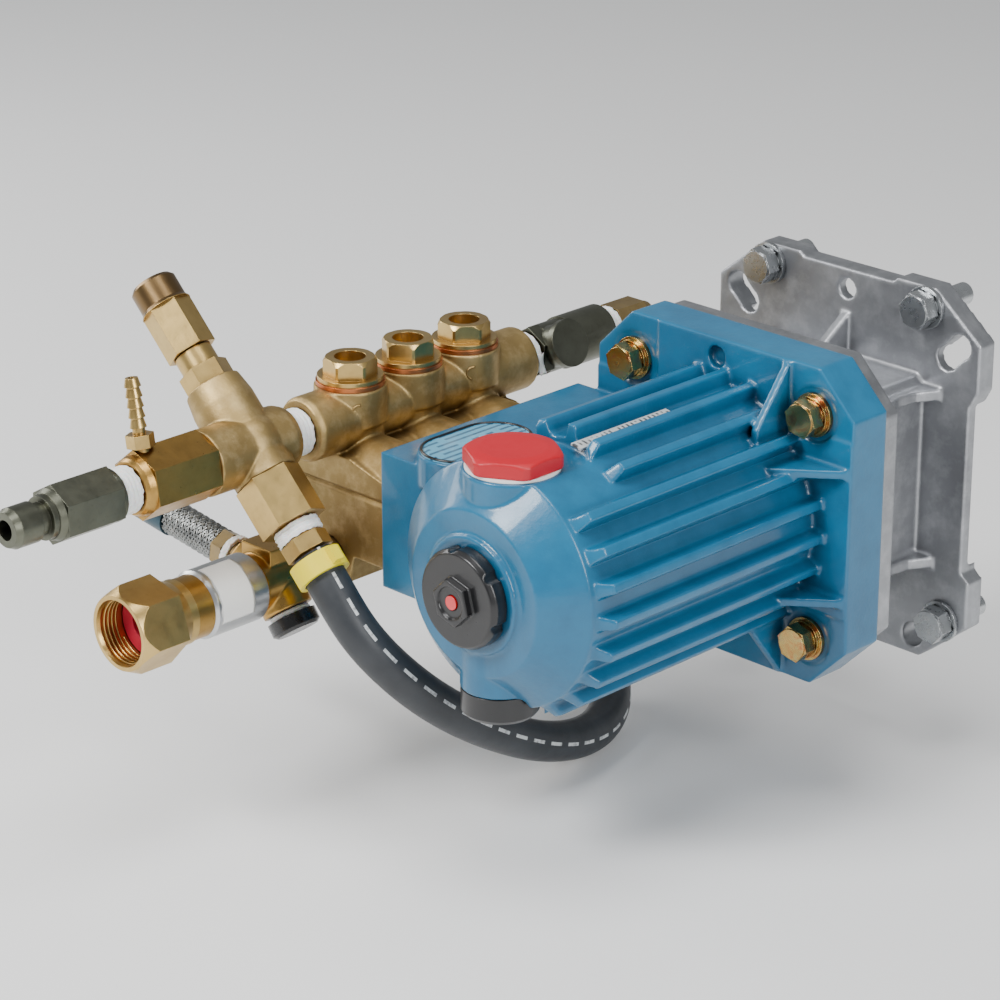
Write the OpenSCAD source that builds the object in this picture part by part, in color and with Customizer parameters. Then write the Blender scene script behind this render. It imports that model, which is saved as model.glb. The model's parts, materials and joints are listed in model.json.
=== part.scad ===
// Triplex plunger pump for a pressure washer, direct drive, with its fittings and engine adapter.
// Y is the crank axis and points to the engine, -X is the manifold side, Z is up.
// The origin is on the crank axis in the plane where the adapter meets the engine.

/* [Crankcase] */
// Outer radius of the round crankcase barrel
case_r = 49; // [48.5:0.25:50]
// Radius to the top of the long cooling ribs
rib_r = 55; // [54:0.25:56]
// Angle between neighbouring ribs
rib_step = 15; // [14.8:0.1:15.1]
// Thickness of the blue mounting flange
flange_t = 21; // [20:0.5:21]
// Half width of the blue mounting flange
flange_w = 67; // [66:0.5:68]
// Half distance between the flange bolts
flange_bolt = 47.2; // [46.5:0.1:47.5]

/* [Engine adapter] */
// Bolt circle radius of the engine pattern
engine_pcr = 82.55; // [82.3:0.05:82.8]
// Radius of the engine bolt holes
engine_hole_r = 5.2; // [5.1:0.05:5.4]
// Radius of the engine shaft that the hollow crankshaft takes
shaft_bore_r = 12.7; // [12.5:0.05:12.8]
// Half width of the engine plate
plate_w = 68.5; // [68:0.25:69]
// Half height of the engine plate
plate_h = 80; // [79.5:0.25:80.5]

/* [Pumping end] */
// Distance between the plunger axes
pitch = 32; // [31.8:0.1:32.2]
// Throw of the eccentrics, half of the plunger stroke
throw = 3.2; // [2.8:0.1:3.4]
// Crank angle of the first eccentric as drawn
phase = 90; // [60:5:120]
// Radius of the ceramic plungers
plunger_r = 9; // [8.9:0.05:9.1]
// Height of the valve caps over the plunger axes
cap_top = 54.5; // [54:0.25:55]
// Width across flats of the valve cap hexagons
cap_af = 19.5; // [19:0.25:20]

/* [Fittings] */
// Lean of the unloader from upright
lean = 45.5; // [45:0.5:46]
// Height of the outlet line over the crank axis
out_z = 30; // [29.8:0.1:30.2]
// Depth of the inlet line under the crank axis
in_z = -26; // [-26.2:0.1:-25.8]
// Width across flats of the hose swivel nut
nut_af = 31; // [30.5:0.25:31.5]
// Outer radius of the bypass hose
hose_r = 8.5; // [8.2:0.1:8.6]
// Inner radius of the bypass hose
hose_bore = 5.6; // [5.5:0.05:5.7]

/* [Hidden] */
$fn = 64;
eps = 0.01;
front_y = -225;               // flat front face of the crankcase
ring_y = -212;                // end of the front cone
fl_back = -65.5;              // rear plane of the blue flange
fl_front = fl_back - flange_t;
mid_y = -147.5;               // axis of the middle plunger
ys = [mid_y - pitch, mid_y, mid_y + pitch];
cap_turn = [-12, 28, -7];       // how far each valve cap was turned home
ph = [phase, phase + 120, phase + 240];
face_x = -78.5;               // joint between crankcase and manifold
valve_x = -115;
gal_a = -207;                 // discharge gallery, nozzle end
gal_b = -84;                  // discharge gallery, engine end
rod_l = 50;
U = [valve_x, -234, out_z];   // centre of the unloader cross
T = [-112, -226, in_z];       // centre of the inlet tee
E = [-112, -84, in_z];        // centre of the inlet elbow
port_tilt = 53;               // inlet tee side port under the horizontal

hose_pts = [[-79.3, -234, -5], [-68, -234, -16], [-55, -233, -32], [-45, -220, -51],
  [-40, -200, -70], [-38, -170, -90], [-38, -139, -105], [-44, -106, -112], [-58, -82, -106],
  [-76, -74, -96], [-93, -75, -89], [-107, -81, -85], [-112, -84, -72], [-112, -84, -56],
  [-112, -84, -41]];

module yc(r, a, b, x = 0, z = 0, r2 = -1) {
  translate([x, a, z]) rotate([-90, 0, 0])
    cylinder(r1 = r, r2 = r2 < 0 ? r : r2, h = b - a);
}
module xc(r, a, b, y = 0, z = 0) {
  translate([a, y, z]) rotate([0, 90, 0]) cylinder(r = r, h = b - a);
}
module zc(r, a, b, x = 0, y = 0, r2 = -1) {
  translate([x, y, a]) cylinder(r1 = r, r2 = r2 < 0 ? r : r2, h = b - a);
}
module hexz(af, a, b) {
  translate([0, 0, a]) cylinder(r = af / 2 / cos(30), h = b - a, $fn = 6);
}
module hexy(af, a, b, x = 0, z = 0, turn = 0) {
  translate([x, a, z]) rotate([-90, turn, 0]) cylinder(r = af / 2 / cos(30), h = b - a, $fn = 6);
}
module ring(ro, ri, a, b) {
  difference() {
    translate([0, 0, a]) cylinder(r = ro, h = b - a);
    translate([0, 0, a - 1]) cylinder(r = ri, h = b - a + 2);
  }
}
module yring(ro, ri, a, b, x = 0, z = 0) {
  translate([x, 0, z]) rotate([-90, 0, 0]) ring(ro, ri, a, b);
}
// places children in the frame of the unloader, +Z running up to the adjuster
module on_u() { translate(U) rotate([0, -lean, 0]) children(); }
// frame of the relief valve, +Z running out of the tee
module on_relief() { translate(T) rotate([0, -82, 0]) children(); }
// frame of the tee's side port, +Z running out of the tee
module on_port() { translate(T) rotate([0, 90 + port_tilt, 0]) children(); }
// frame of the injector, +Z running up the barb
module on_barb() { translate([valve_x, -286, out_z]) rotate([0, -9, 0]) children(); }
module corners(h) { for (sx = [-1, 1], sz = [-1, 1]) translate([sx * h, 0, sz * h]) children(); }

// ---- crankcase ----
module rib_bar(a, from) {
  rotate([0, -a, 0]) translate([0, from, 0]) rotate([-90, 0, 0])
    linear_extrude(fl_front + 1 - from)
      polygon([[case_r - 3, -3.6], [case_r + 0.4, -3], [rib_r, -1.9], [rib_r, 1.9],
        [case_r + 0.4, 3], [case_r - 3, 3.6]]);
}
module rib_set(list, from) {
  difference() {
    for (a = list) rib_bar(a, from);
    rotate([-90, 0, 0]) rotate_extrude()
      polygon([[case_r - 5, from - 1], [rib_r + 3, from - 1], [rib_r + 3, from + 8],
        [case_r - 0.5, from + 1], [case_r - 5, from + 1]]);
  }
}
module flange_shape(w, h, c, d) {
  polygon([[w, h - d], [w - c, h], [c - w, h], [-w, h - d], [-w, d - h], [c - w, -h],
    [w - c, -h], [w, d - h]]);
}
module yplate(a, b) { translate([0, b, 0]) rotate([90, 0, 0]) linear_extrude(b - a) children(); }
module oval(r, h) { for (s = [-1, 1]) zc(r, 0, h, 0, s * 9.5);
  translate([-r, -9.5, 0]) cube([2 * r, 19, h]); }
module web(x, s) {
  // triangular web on the front of the flange, running out on the barrel
  translate([x - 1.8, 0, 0]) rotate([90, 0, 90]) linear_extrude(3.6)
    polygon([[fl_front + 0.5, s * 34], [fl_front + 0.5, s * 65], [fl_front - 1, s * 65],
      [fl_front - 19, s * 42], [fl_front - 19, s * 34]]);
}
module crankcase_solid() {
  yc(case_r, ring_y, fl_front + 1);
  yc(33, front_y, ring_y, r2 = case_r);
  yc(23.5, front_y - 2, front_y + 1);
  rib_set([for (k = [0:3]) 102.5 - k * rib_step], -182);
  rib_set([for (k = [4:14]) 102.5 - k * rib_step], -211);
  zc(19.4, 0, 45.5, 0, -204);
  zc(15.4, -41.6, 0, 0, -210.7);
  translate([face_x, -198, -28.5]) cube([50, fl_front + 198.5, 57]);
  // raised pad that carries the oval plate
  translate([-49, -174, 20]) oval(16.5, 13);
  yplate(fl_front, fl_back) flange_shape(flange_w, flange_w - 0.5, 18, 18);
  for (s = [-1, 1]) web(33.5, s);
  rotate([0, 90, 0]) for (x = [-27, 27]) web(x, 1);
}
module crankcase() {
  color("#2b7da3") difference() {
    crankcase_solid();
    // spot faces under filler cap and drain cap
    zc(29, 45.5, 60, 0, -204);
    zc(17, -60, -41.6, 0, -210.7);
    // hollow inside, bearing seats and front hole
    yc(43, -205, -93.9);
    yc(24.05, -219, -204.9);
    yc(14.4, -228, -218);
    yc(36.05, -94, fl_back + 1);
    // filler and drain holes
    zc(11.1, 20, 50, 0, -204);
    zc(9.1, -50, -20, 0, -210.7);
    // crosshead guides and oil seal seats
    for (y = ys) {
      xc(13.05, -74, -30, y);
      xc(12, face_x - 1, -73, y);
    }
    // threaded holes for the manifold bolts
    for (y = [ys[0] + pitch / 2, ys[1] + pitch / 2], z = [-14.5, 14.5]) xc(2.9, face_x - 1, -60, y, z);
    // flange holes with spot faces, one round dimple
    corners(flange_bolt) { yc(5.4, fl_front - 1, fl_back + 1); yc(11.4, fl_front - 9, fl_front + 1.2); }
    yc(4.5, fl_front - 1, fl_front + 3.4, -3, 58.5);
    // pocket for the oval plate
    translate([-49, -174, 33]) oval(15.7, 6);
    // lower corner pads of the flange
    corners(54) translate([-20, fl_front - 1, -14]) cube([40, 1.7, 34]);
  }
}
module bearing_cover() {
  color("#c4c8ca") difference() {
    yc(36, -77.8, fl_back);
    yc(27.05, -78, fl_back + 1);
  }
}
module shaft_bearings() {
  color("#9aa0a4") {
    yring(36, 20.05, -94, -77.8);
    yring(24, 12.55, -219, -205.2);
  }
}
module shaft_seal() { color("#1d1d1f") yring(27, 19.06, -77, -67); }

// ---- running gear ----
module crankshaft() {
  color("#8c9196") difference() {
    union() {
      yc(12.5, -218.5, -193);
      yc(15, -193.5, -106);
      for (i = [0:2]) yc(20, ys[i] - 9, ys[i] + 9, -throw * cos(ph[i]), throw * sin(ph[i]));
      yc(22, -106.5, -94.2);
      yc(20, -94.5, -78);
      yc(19, -78.5, 0);
    }
    yc(shaft_bore_r, -92, 1);
    translate([-3.2, -80, 0]) cube([6.4, 81, shaft_bore_r + 3.2]);
  }
}
module connecting_rod(i) {
  ex = -throw * cos(ph[i]);
  ez = throw * sin(ph[i]);
  color("#b9bdc0") translate([ex, ys[i], ez]) difference() {
    union() {
      yc(27, -8, 8);
      translate([-rod_l, -5, -6]) cube([rod_l - 22, 10, 12]);
      yc(7.5, -5, 5, -rod_l);
    }
    yc(20.05, -9, 9);
    yc(4.05, -9, 9, -rod_l);
  }
  color("#80868a") translate([ex, ys[i], ez]) yc(4, -10, 10, -rod_l);
}
module crosshead(i) {
  px = -rod_l - throw * cos(ph[i]);
  color("#a4a9ad") translate([px, ys[i], 0]) {
    difference() {
      union() {
        xc(13, -20, 14);
        xc(7, -33, -19);
        xc(4.4, -58, -32);
      }
      translate([-14.6, -5.7, -20]) cube([40, 11.4, 40]);
      // long windows for the wrist pin
      for (s = [-1, 1]) translate([0, s > 0 ? 5 : -20, -7.4]) translate([-10.6, 0, 0])
        cube([21.2, 15, 14.8]);
    }
    difference() { xc(6.5, -61.2, -58); xc(3, -62, -60); }
  }
}
module plunger(i) {
  color("#f1ede2") translate([-rod_l - throw * cos(ph[i]), ys[i], 0])
    difference() { xc(plunger_r, -58, -33); xc(4.45, -59, -32); }
}
module oil_seals() {
  color("#26211e") for (y = ys) translate([0, y, 0]) rotate([0, 90, 0]) ring(11.95, 7.06, face_x, -74.05);
}
module packing_retainers() {
  color("#c49a45") for (y = ys) translate([0, y, 0]) rotate([0, 90, 0])
    ring(13.95, plunger_r + 0.4, -87, -79.2);
}
module plunger_packings() {
  color("#2c2a27") for (y = ys) translate([0, y, 0]) rotate([0, 90, 0])
    ring(13.95, plunger_r + 0.05, -97, -87);
}

// ---- manifold ----
module manifold_solid() {
  yplate(ys[0] - 15.5, ys[2] + 15.5)
    polygon([[face_x - 0.1, -23], [-98, -23], [-101, -35], [-128, -35], [-132, -31], [-132, 16],
      [-129, 19], [-101, 19], [face_x - 0.1, 13]]);
  for (y = ys) {
    xc(15, valve_x, face_x - 0.1, y, 9);
    zc(14.8, 28, 43.5, valve_x, y);
    zc(13.2, -20, 28.1, valve_x, y);
  }
  yc(13.4, gal_a + 2, ys[0] - 3, valve_x, out_z);
  yc(12, ys[0] - 4, ys[2] + 4, valve_x, out_z);
  yc(13.4, ys[2] + 3, gal_b - 1, valve_x, out_z);
  yc(12.2, gal_a, gal_a + 2.2, valve_x, out_z, r2 = 13.4);
  yc(13.4, gal_b - 1.2, gal_b, valve_x, out_z, r2 = 12.2);
  yc(10.5, ys[2], -100, T[0], in_z);
}
module manifold() {
  color("#b99a62") difference() {
    manifold_solid();
    for (y = ys) {
      zc(11.2, -18, 44, valve_x, y);
      zc(6, -30, -17, valve_x, y);
      xc(plunger_r + 0.6, -112, -96, y);
      xc(14, -97, face_x + 1, y);
    }
    // V groove in the end face between the lobes and the lower block
    translate([0, ys[0] - 15.5, 0]) rotate([0, 90, 0]) translate([0, 0, -140]) linear_extrude(70)
      polygon([[-6.5, -1], [-4.5, 2], [-2.5, -1]]);
    yc(7.5, gal_a - 1, gal_b + 1, valve_x, out_z);
    yc(8.6, gal_a - 1, gal_a + 9, valve_x, out_z);
    yc(8.6, gal_b - 9, gal_b + 1, valve_x, out_z);
    yc(6.5, ys[0] - 20, -95, T[0], in_z);
    yc(8.35, ys[0] - 17, ys[0] - 6, T[0], in_z);
    yc(8.35, -110, -95, T[0], in_z);
    for (y = [ys[0] + pitch / 2, ys[1] + pitch / 2], z = [-14.5, 14.5]) {
      xc(3.3, -140, -70, y, z);
      xc(5.6, -140, -126, y, z);
    }
  }
}
module manifold_bolts() {
  color("#3a3c3e") for (y = [ys[0] + pitch / 2, ys[1] + pitch / 2], z = [-14.5, 14.5]) difference() {
    union() { xc(2.85, -126.5, -62, y, z); xc(5, -132, -126, y, z); }
    translate([-135, y, z]) rotate([0, 90, 0]) cylinder(r = 2.9, h = 6, $fn = 6);
  }
}
module valve_caps() {
  color("#c9a24f") for (i = [0:2]) translate([valve_x, ys[i], 0]) rotate([0, 0, cap_turn[i]]) difference() {
    union() {
      zc(11.1, 35.5, 45.4);
      zc(13.4, 45.3, 47.2);
      intersection() {
        hexz(cap_af, 47.1, cap_top);
        zc(cap_af / 2 * 1.12, 45, cap_top - 1.9);
      }
      intersection() {
        hexz(cap_af, cap_top - 2, cap_top);
        zc(cap_af / 2 * 1.14, cap_top - 2.1, cap_top, r2 = cap_af / 2 * 1.02);
      }
    }
    zc(6.4, cap_top - 7, cap_top + 1);
    zc(8, 34, 38);
  }
}
module cap_rings() {
  color("#a4572e") for (y = ys) translate([valve_x, y, 0]) ring(14, 11.15, 43.5, 45.3);
}
module valve_seats() {
  color("#aeb3b6") for (y = ys) translate([valve_x, y, 0]) {
    ring(11.15, 5.5, 12, 16);
    ring(11.15, 5.5, -17.6, -14.5);
  }
}
module valve_disc(i, z) {
  color("#d9dcde") translate([valve_x, ys[i], z]) {
    zc(8, 0, 2.2);
    zc(3, -3.2, 0.1);
  }
}

// ---- caps, sight glass and plates on the crankcase ----
module filler_cap() {
  color("#c8283a") translate([0, -204, 0]) {
    intersection() {
      rotate([0, 0, 30]) hexz(34.8, 46.7, 53.6);
      union() { zc(19.3, 46.7, 51.8); zc(19.3, 51.75, 52.9, r2 = 17); zc(17, 52.85, 53.5, r2 = 13); }
    }
    zc(11, 34, 46.8);
  }
}
module filler_gasket() { color("#f2f2ee") translate([0, -204, 0]) ring(18.3, 11.1, 45.5, 46.7); }
module sight_glass() {
  color("#19191b") difference() {
    union() {
      yc(14.3, -226.5, -219.4);
      yc(19.8, -232, -227.02);
      yc(18.4, -234, -232, r2 = 19.8);
      hexy(16.4, -237.5, -233.5, turn = 15);
    }
    for (k = [0:5]) rotate([0, k * 60 + 20, 0]) yc(2.8, -236, -226.9, 21.4, 0);
    yc(6.4, -238, -236.4);
    yc(2.9, -240, -235);
  }
}
module sight_lens() { color("#d62a34") yc(2.8, -236.9, -235.1); }
module drain_cap() {
  color("#151517") translate([0, -210.7, 0]) {
    zc(15.2, -50.8, -41.7);
    zc(14, -52.3, -50.8, r2 = 15.2);
    zc(9, -42, -30);
  }
}
module label_plates() {
  color("#6db6d6") translate([-49, -174, 0]) difference() {
    translate([0, 0, 33]) oval(15.4, 0.8);
    translate([0, 0, 33.6]) difference() { oval(14.2, 1); translate([0, 0, -1]) oval(13, 3); }
  }
  color("#c9ccce") rotate([0, 10, 0]) translate([-2.6, -179, case_r + 0.02]) cube([5.2, 53, 0.9]);
}

// ---- engine adapter: plate, bell and webs are one casting ----
plate_side = [[23.5, plate_h - 1.8], [25.5, plate_h], [45, plate_h], [plate_w, 61], [plate_w, 41],
  [plate_w - 4, 34], [plate_w - 4, -38], [plate_w, -41], [plate_w, -61], [45, -plate_h]];
module engine_plate() {
  color("#b4b7b9") difference() {
    yplate(-10, 0) polygon(concat(plate_side,
      [for (i = [len(plate_side) - 1:-1:0]) [-plate_side[i][0], plate_side[i][1]]]));
    yc(35.5, -11, 1);
    yc(73.05, -4.8, 1);
    // engine bolt holes, two positions at each corner
    for (a = [60, 120, 45, 135, -47.3, -132.7, -60, -120])
      yc(engine_hole_r, -11, 1, engine_pcr * cos(a), engine_pcr * sin(a));
    // the open holes at the top corners are slots that run inwards
    for (a = [45, 135]) { yc(engine_hole_r, -11, 1, 74 * cos(a), 74 * sin(a));
      rotate([0, -a, 0]) translate([74, -11, 0.3 - engine_hole_r])
        cube([engine_pcr - 74, 12, 2 * engine_hole_r - 0.6]); }
    // hole on the centre line
    yc(4.2, -11, 1, 0, 69.5);
  }
}
module adapter_bell() {
  color("#b4b7b9") difference() {
    union() {
      yplate(fl_back, -57) flange_shape(66, 65.5, 20, 20);
      yplate(-57.5, -10) flange_shape(41, 42, 3, 3);
    }
    yplate(-56.9, -9) flange_shape(35.8, 36.8, 3, 3);
    yc(34, fl_back - 1, -56);
    corners(flange_bolt) yc(4.3, fl_back - 1, -56);
  }
}
module adapter_webs() {
  color("#b4b7b9") for (s = [-1, 1]) {
    for (z = [-36.4, 36.4]) translate([0, 0, z - 2.5]) linear_extrude(5)
      polygon([[s * 41, -57], [s * 60, -57], [s * 48, -44], [s * 44.5, -30], [s * 45.5, -20],
        [s * 51, -10], [s * 41, -10]]);
    translate([-2.2, 0, 0]) rotate([90, 0, 90]) linear_extrude(4.4)
      polygon([[-38, s * 42], [-10, s * 60], [-10, s * 42]]);
  }
}
qs = [60, 120, -47.3, -132.7];
module engine_bolts() {
  color("#c8ccce") for (a = qs) translate([engine_pcr * cos(a), 0, engine_pcr * sin(a)]) {
    hexy(13.4, -18.8, -12.6, turn = 10);
    yc(6.6, -19.4, -18.7);
    yc(6.7, -12.8, -12);
    yc(4.7, -12.5, 14);
  }
  // washers
  color("#d4d7d8") for (a = qs) translate([engine_pcr * cos(a), 0, engine_pcr * sin(a)])
    yring(8.8, 4.9, -11.98, -10.02);
}
module pump_bolts() {
  color("#b9985a") corners(flange_bolt) {
    hexy(13.2, fl_front - 8.3, fl_front - 2.6, turn = 12);
    yc(6.4, fl_front - 8.8, fl_front - 8.2);
    yc(6.5, fl_front - 2.8, fl_front - 2);
    yc(4.95, fl_front - 2.5, fl_back);
    yc(4.2, fl_back - 1, -57);
  }
  // flat washers under spring washers
  color("#c0a668") corners(flange_bolt) { yring(8.9, 5.1, fl_front - 0.56, fl_front + 1.18);
    yring(7.8, 5.05, fl_front - 1.98, fl_front - 0.6); }
}

// ---- unloader and outlet ----
module unloader_body() {
  color("#b39558") difference() {
    union() {
      on_u() { zc(13, -14.4, 20); zc(13, 20, 29, r2 = 11.6); sphere(r = 14.6); }
      yc(13.4, -258.6, -219, valve_x, out_z);
      yc(13.4, -219.1, -216, valve_x, out_z, r2 = 12.2);
    }
    on_u() { zc(7.5, -15, 27); zc(8.05, -15, -8); zc(9.05, 22, 30); }
    yc(6.5, -260, -215, valve_x, out_z);
    yc(8.6, -224, -215, valve_x, out_z);
    yc(9.05, -260, -251, valve_x, out_z);
  }
}
module unloader_neck() {
  color("#a88545") on_u() difference() {
    union() {
      zc(9, 22.5, 29.1);
      hexz(18, 29.1, 37);
      zc(8, 36.9, 44.6);
      zc(6, 44.5, 60);
    }
    zc(3, 20, 57);
  }
}
module adjuster_cap() {
  color("#b8924a") on_u() difference() {
    union() {
      rotate([0, 0, -12]) hexz(18, 45, 66);
      zc(10.6, 65.9, 67.5, r2 = 9.6);
      zc(9.6, 67.4, 76.6);
      zc(9.6, 76.5, 78, r2 = 8.4);
    }
    zc(6.06, 44, 60.6);
    zc(6.4, 75.6, 79);
  }
}
module pipe_nipples() {
  color("#9c8f6b") {
    yring(8.55, 5, -223.5, -199, valve_x, out_z);
    yring(8.3, 5, ys[0] - 38, ys[0] - 7, T[0], T[2]);
    yring(8.55, 5, -92.5, -72.5, valve_x, out_z);
  }
  // plug that closes the engine end of the discharge line
  color("#9a6f3c") translate([valve_x, 0, out_z]) {
    yc(8, -42.5, -26);
    hexy(17, -28, -11);
    yc(7.4, -11.1, -5, r2 = 6);
  }
}
module thread_tape() {
  color("#f6f6f4") {
    yring(9.9, 8.6, -215.95, -207.05, valve_x, out_z);
    yring(9.7, 8.56, -302.9, -294.6, valve_x, out_z);
    yring(10.2, 8.6, -83.95, -78.9, valve_x, out_z);
    yring(9.4, 8.06, -34.9, -28.1, valve_x, out_z);
    on_u() ring(10, 8.05, -42.4, -36.1);
    on_relief() ring(8.4, 6.05, 20.6, 24);
    on_port() ring(8.8, 7.05, 15.1, 17.4);
  }
}
module injector_body() {
  color("#b5914d") difference() {
    union() {
      translate([valve_x, 0, out_z]) rotate([0, -9, 0]) hexy(24.4, -290.4, -258.7, turn = 30);
      yc(9, -258.8, -251.5, valve_x, out_z);
      yc(11.4, -293, -290.3, valve_x, out_z, r2 = 12.2);
      yc(10.4, -294.5, -292.9, valve_x, out_z, r2 = 11.4);
      yc(8.5, -308, -294.4, valve_x, out_z);
    }
    yc(4.2, -310, -250, valve_x, out_z);
    on_barb() zc(3.02, 5, 20);
  }
}
module injector_barb() {
  color("#cfa952") on_barb() difference() {
    union() {
      zc(3, 7, 14.3);
      translate([0, 0, 14.25]) cylinder(r = 5.6, h = 5.2, $fn = 6);
      zc(2.5, 19.4, 41);
      for (k = [0:4]) zc(3.3, 22 + k * 4, 25.4 + k * 4, r2 = 2.5);
    }
    zc(1.2, 6, 42);
  }
}
module outlet_plug() {
  color("#6f7266") difference() {
    union() {
      hexy(21, -332, -305, valve_x, out_z, turn = 30);
      yc(10.6, -305.1, -303.4, valve_x, out_z);
      yc(9, -334.5, -331.9, valve_x, out_z, r2 = 10.4);
      yc(8.6, -337, -334.4, valve_x, out_z);
      yc(6.4, -342, -336.9, valve_x, out_z);
      yc(8, -351, -341.5, valve_x, out_z);
      yc(6.8, -353.6, -350.9, valve_x, out_z, r2 = 8);
    }
    yc(4, -354, -302, valve_x, out_z);
    yc(8.55, -308.4, -303, valve_x, out_z);
  }
}
module bypass_barb() {
  color("#bd9a4e") on_u() difference() {
    union() {
      zc(8, -14.5, -9);
      zc(8, -15, -14);
      hexz(24, -36, -14.5);
      zc(8, -43, -35.9);
      hexz(17, -49, -42.5);
      zc(4.6, -67, -48.9);
      for (k = [0:2]) zc(4.6, -57.6 - k * 3.6, -54.4 - k * 3.6, r2 = 5.2);
    }
    zc(2.8, -75, -8);
  }
}
module hose_collar() {
  color("#f0e235") on_u() difference() {
    union() { ring(10.9, 8.72, -60, -51.5);
      translate([9, -2, -59]) cube([5, 4, 6]); }
    zc(8.72, -65, -50);
  }
}

// ---- bypass hose ----
function bs(p, i, t) = let (
  a = p[max(i - 1, 0)], b = p[i], c = p[min(i + 1, len(p) - 1)], d = p[min(i + 2, len(p) - 1)])
  (a * (1 - t) * (1 - t) * (1 - t) + b * (3 * t * t * t - 6 * t * t + 4)
    + c * (-3 * t * t * t + 3 * t * t + 3 * t + 1) + d * t * t * t) / 6;
hose_n = 4;
route = concat([hose_pts[0]],
  [for (i = [0:len(hose_pts) - 2], k = [0:hose_n - 1]) if (i + k > 0) bs(hose_pts, i, k / hose_n)],
  [hose_pts[len(hose_pts) - 1]]);
function unit(v) = v / norm(v);
function tang(i) = i == 0 ? unit(hose_pts[1] - hose_pts[0])
  : i == len(route) - 1 ? [0, 0, 1] : unit(route[i + 1] - route[i - 1]);
function ring_pts(i, r, n) = let (t = tang(i), u = unit(cross(t, [1, 1, 1])), v = cross(t, u))
  [for (k = [0:n - 1]) route[i] + r * (u * cos(k * 360 / n) + v * sin(k * 360 / n))];
module bypass_hose() {
  n = 12;
  m = len(route);
  pts = concat([for (i = [0:m - 1]) each ring_pts(i, hose_r, n)],
    [for (i = [0:m - 1]) each ring_pts(i, hose_bore, n)]);
  o = m * n;
  color("#2a2b2e") polyhedron(points = pts, faces = concat(
    [for (i = [0:m - 2], k = [0:n - 1]) let (a = i * n + k, b = i * n + (k + 1) % n) each
      [[a, b, b + n], [a, b + n, a + n]]],
    [for (i = [0:m - 2], k = [0:n - 1]) let (a = o + i * n + k, b = o + i * n + (k + 1) % n) each
      [[a, b + n, b], [a, a + n, b + n]]],
    [for (k = [0:n - 1]) let (b = (k + 1) % n) each [[k, o + b, b], [k, o + k, o + b]]],
    [for (k = [0:n - 1]) let (s = (m - 1) * n, b = (k + 1) % n) each
      [[s + k, s + b, o + s + b], [s + k, o + s + b, o + s + k]]]));
}
module inlet_elbow() {
  color("#b8954e") difference() {
    union() {
      yc(8.3, -109.5, -99.9, E[0], E[2]);
      hexy(18, -99.9, -92, E[0], E[2], turn = 30);
      yc(7.6, -92.1, E[1], E[0], E[2]);
      translate(E) sphere(r = 7.6);
      translate([E[0], E[1], 0]) { zc(7.6, -40.8, E[2]); zc(4.6, -60, -40.7);
        for (k = [0:3]) zc(4.6, -58.5 + k * 3.8, -55.2 + k * 3.8, r2 = 5.2); }
    }
    yc(4, -111, E[1], E[0], E[2]);
    translate(E) sphere(r = 4);
    translate([E[0], E[1], 0]) zc(2.8, -64, E[2]);
  }
}

// ---- water inlet ----
module inlet_tee() {
  color("#b18a41") difference() {
    union() {
      yc(12, -239, -213, T[0], T[2]);
      on_relief() zc(10.4, 0, 16);
      on_port() zc(10.4, 0, 15);
      translate([T[0] - 8.5, T[1] - 8.5, T[2]]) cube([17, 17, 15.5]);
    }
    yc(7, -241, -210, T[0], T[2]);
    yc(8.35, -222, -210, T[0], T[2]);
    yc(9.05, -241, -233, T[0], T[2]);
    on_relief() zc(6.05, 0, 18);
    on_port() zc(7.05, 0, 16);
  }
}
module inlet_tail() {
  color("#a98544") difference() {
    union() {
      yring(12.4, 7, -290, -287.7, T[0], T[2]);
      yring(10, 7, -287.8, -274.9, T[0], T[2]);
      yring(12.8, 7, -275, -267, T[0], T[2]);
      yring(9, 7, -239.2, -233.5, T[0], T[2]);
    }
    yc(6.9, -300, -230, T[0], T[2]);
  }
}
module strainer_sleeve() {
  color("#b9bcbf") difference() {
    union() {
      yc(14, -265.8, -240.4, T[0], T[2]);
      yc(12.8, -267, -265.7, T[0], T[2], r2 = 14);
      yc(14, -240.5, -239.2, T[0], T[2], r2 = 12.8);
    }
    yc(10, -268, -238, T[0], T[2]);
  }
}
module swivel_nut() {
  color("#c39c49") translate([T[0], 0, T[2]]) difference() {
    union() {
      intersection() {
        hexy(nut_af, -305, -281, turn = 12);
        yc(nut_af / 2 * 0.98, -305, -299, r2 = nut_af / 2 * 1.16);
      }
      intersection() {
        hexy(nut_af, -299.1, -281, turn = 12);
        yc(nut_af / 2 * 1.16, -299.2, -284);
      }
      yc(nut_af / 2 * 1.0, -284.2, -279, r2 = nut_af / 2 * 0.86);
      yc(13.3, -279.2, -275.4);
    }
    yc(13, -306, -292.7);
    yc(13.4, -292.8, -287.4);
    yc(13.9, -306, -303.4, r2 = 13);
    yc(10.06, -290, -275);
  }
}
module inlet_washer() { color("#c5283c") yring(12.7, 6.6, -292.6, -290.1, T[0], T[2]); }
module tee_cap() {
  color("#111214") on_port() {
    zc(7, 8, 17.6);
    zc(10.2, 17.5, 22.6);
    zc(10.2, 22.5, 23.8, r2 = 8.6);
  }
}
module relief_valve() {
  color("#8f7440") on_relief() {
    difference() {
      union() { zc(6, 10, 24.5); hexz(14, 24.1, 30); }
      zc(2.5, 9, 31);
    }
  }
  color("#3b4f5a") on_relief() {
    zc(8, 60.1, 78);
    zc(8, 78, 80, r2 = 6.5);
  }
}
module relief_braid() { color("#8e9396") on_relief() zc(7.5, 30.1, 60); }

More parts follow.
